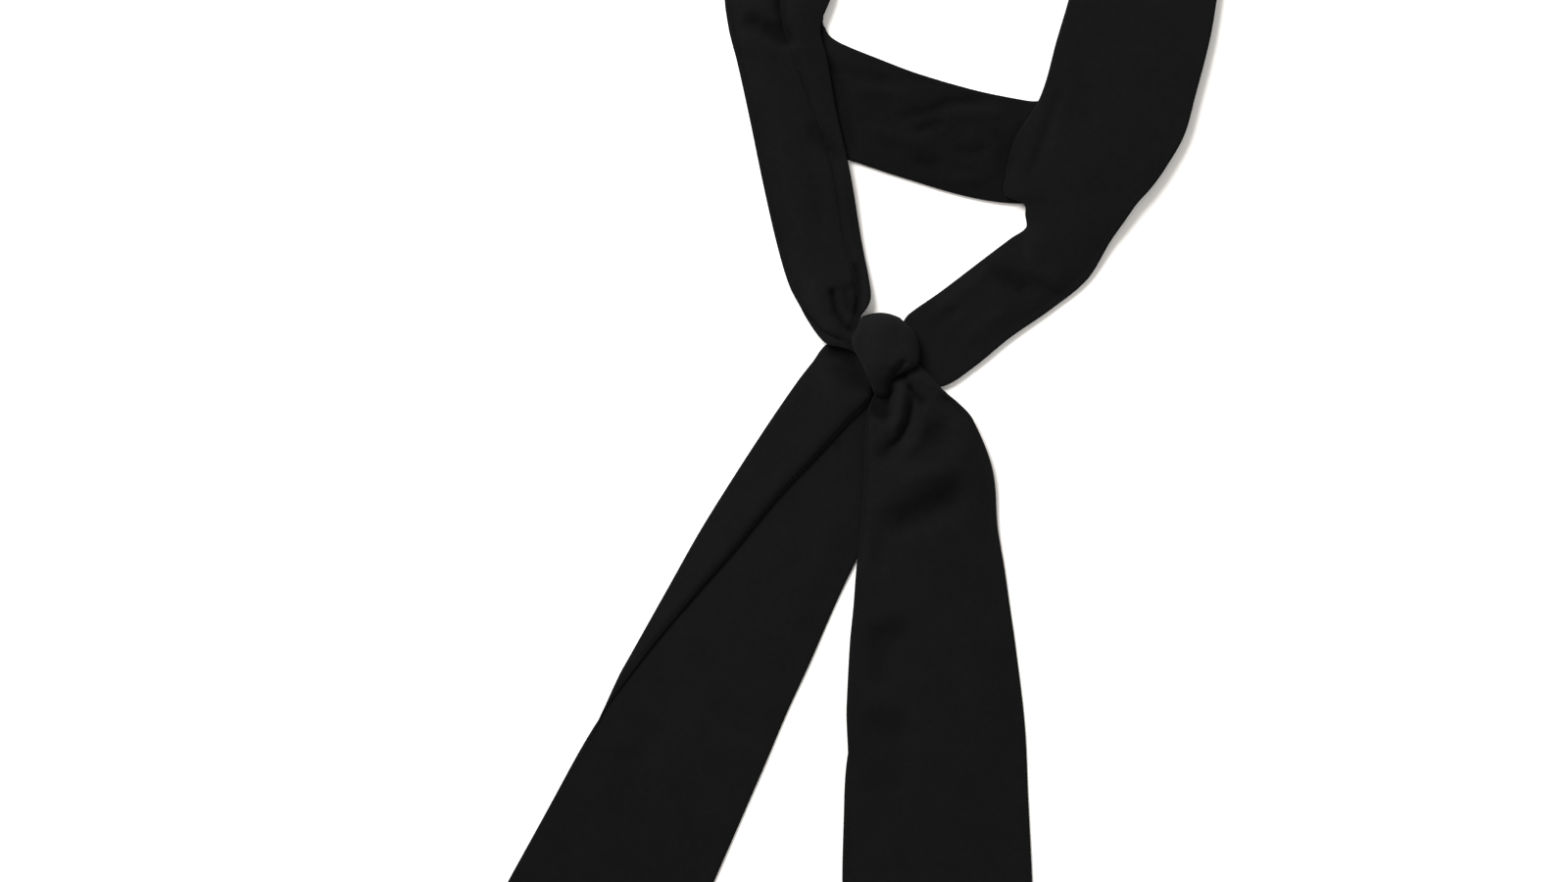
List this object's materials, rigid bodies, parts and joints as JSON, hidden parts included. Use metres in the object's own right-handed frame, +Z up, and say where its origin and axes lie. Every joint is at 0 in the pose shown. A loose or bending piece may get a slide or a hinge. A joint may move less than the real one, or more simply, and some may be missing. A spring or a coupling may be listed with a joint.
{
  "type": "scarf",
  "caption": "Long narrow black scarf laid flat as worn: round the neck twice, its ends tied in an overhand knot and hanging as tails.",
  "frame": {"origin": "on the table under the middle of the knot, on the flat underside of the lowest layer", "axes": "+Z up from the table; +Y along the scarf from the knot to the nape; +X to the right as seen from above"},
  "size_m": [0.3919, 0.6867, 0.0155],
  "materials": {
    "cloth": "matt"
  },
  "bodies": {
    "root": {"throat_band": "cloth", "left_neck_strand": "cloth", "right_neck_strand": "cloth", "knot_turn": "cloth", "left_tail": "cloth", "right_tail": "cloth"}
  },
  "joints": []
}
